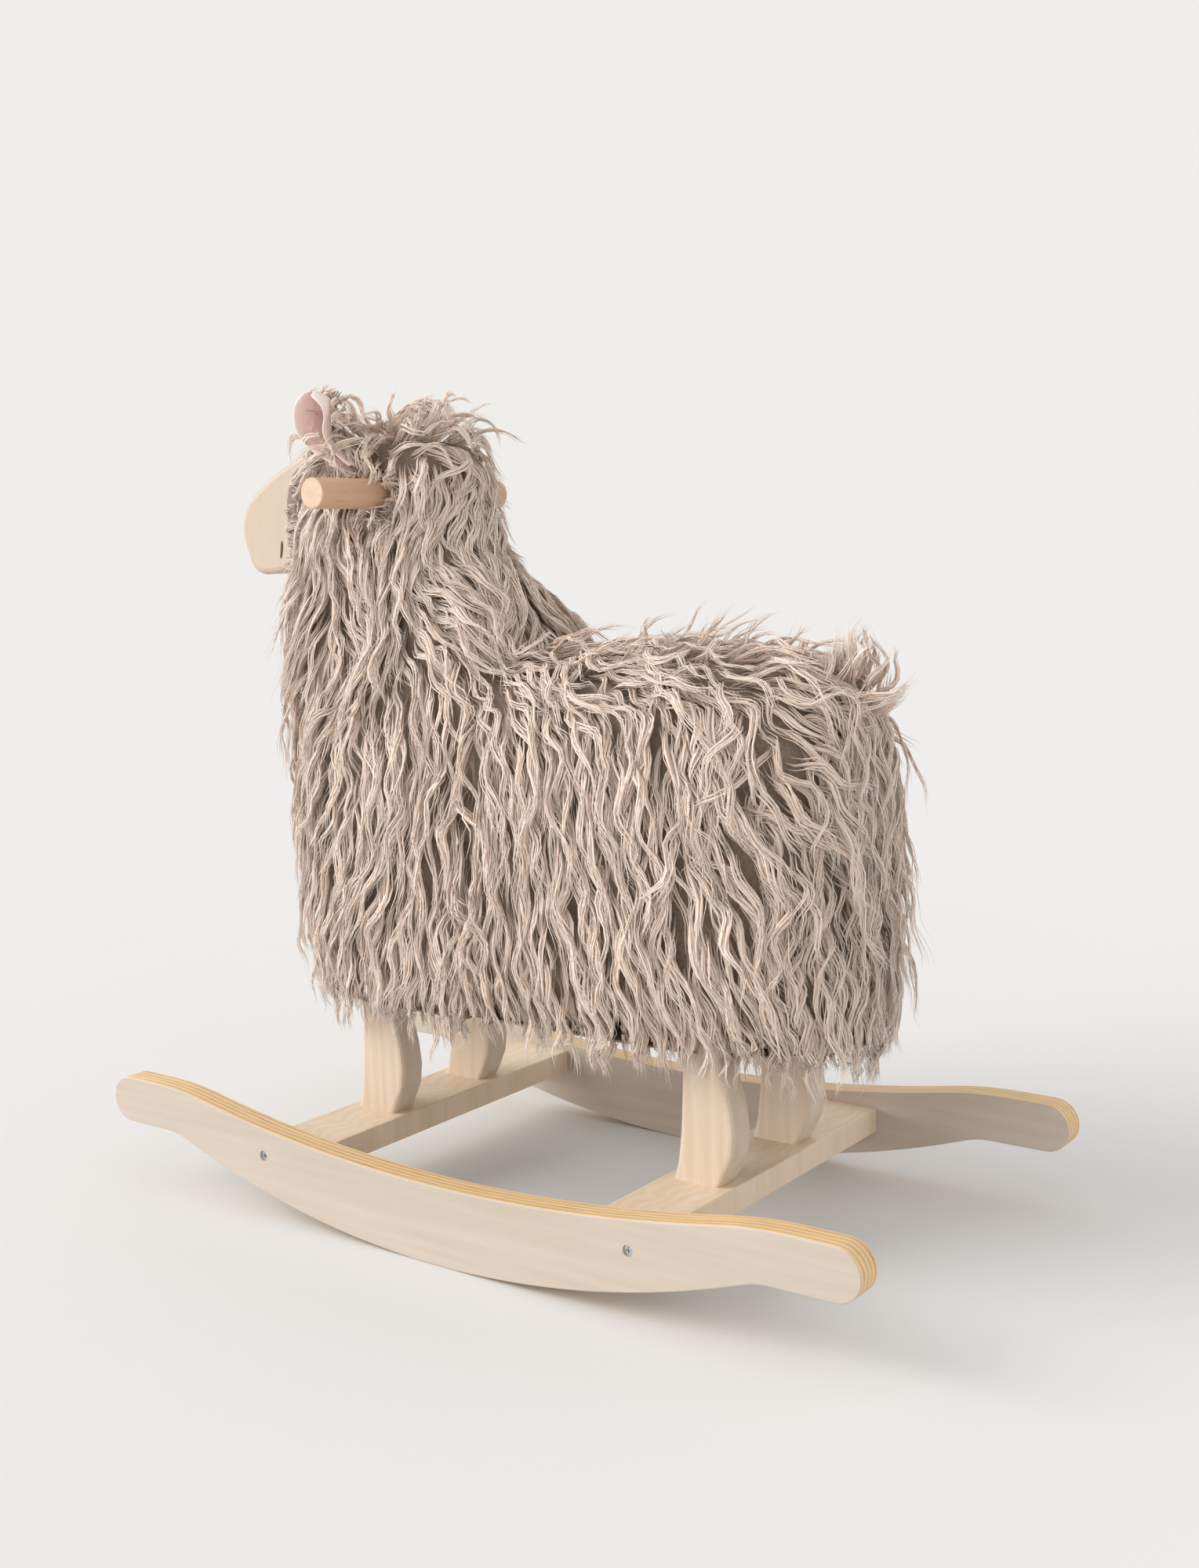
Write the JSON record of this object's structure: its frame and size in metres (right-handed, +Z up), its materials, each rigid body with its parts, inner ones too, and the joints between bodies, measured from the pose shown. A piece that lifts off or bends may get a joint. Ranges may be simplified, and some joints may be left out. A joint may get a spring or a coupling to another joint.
{
  "type": "rocking horse",
  "caption": "Shaggy long-pile ride-on animal on curved plywood rockers, with a pale wooden face, felt-lined ears and a round grab handle.",
  "frame": {"origin": "on the floor under the middle of the two rockers", "axes": "+X towards the head, +Y to the animal's left, +Z up"},
  "size_m": [0.67, 0.341, 0.6216],
  "materials": {
    "plywood": "birch plywood with a clear matt finish",
    "pale_wood": "planed and sanded light solid wood, clear matt finish",
    "beech": "turned beech, fine sanded",
    "zinc": "bright zinc plate",
    "foam": "upholstery foam and wadding",
    "lining_cloth": "needled felt cloth",
    "shaggy_pile": "long wavy greige pile with paler tips on a knitted backing",
    "pink_felt": "soft pale pink felt"
  },
  "bodies": {
    "root": {"rocker_left": "plywood", "rocker_right": "plywood", "front_cross_board": "pale_wood", "rear_cross_board": "pale_wood", "rocker_screws": "zinc", "rocker_dowels": "beech", "front_left_leg": "pale_wood", "front_right_leg": "pale_wood", "rear_left_leg": "pale_wood", "rear_right_leg": "pale_wood", "foot_screws": "zinc", "front_bolster": "pale_wood", "rear_bolster": "pale_wood", "bolster_screws": "zinc", "seat_board": "plywood", "seat_screws": "zinc", "neck_board": "plywood", "neck_cleat_left": "pale_wood", "neck_cleat_right": "pale_wood", "cleat_screws": "zinc", "handle_bar": "beech", "handle_grip_left": "beech", "handle_grip_right": "beech", "handle_screw": "zinc", "face_block": "pale_wood", "face_screws": "zinc", "body_padding": "foam", "neck_padding": "foam", "belly_cloth": "lining_cloth", "body_coat": "shaggy_pile", "chest_coat": "shaggy_pile", "neck_coat": "shaggy_pile", "head_coat": "shaggy_pile", "ear_left": "shaggy_pile", "ear_right": "shaggy_pile", "ear_left_lining": "pink_felt", "ear_right_lining": "pink_felt", "tail": "shaggy_pile"}
  },
  "joints": []
}
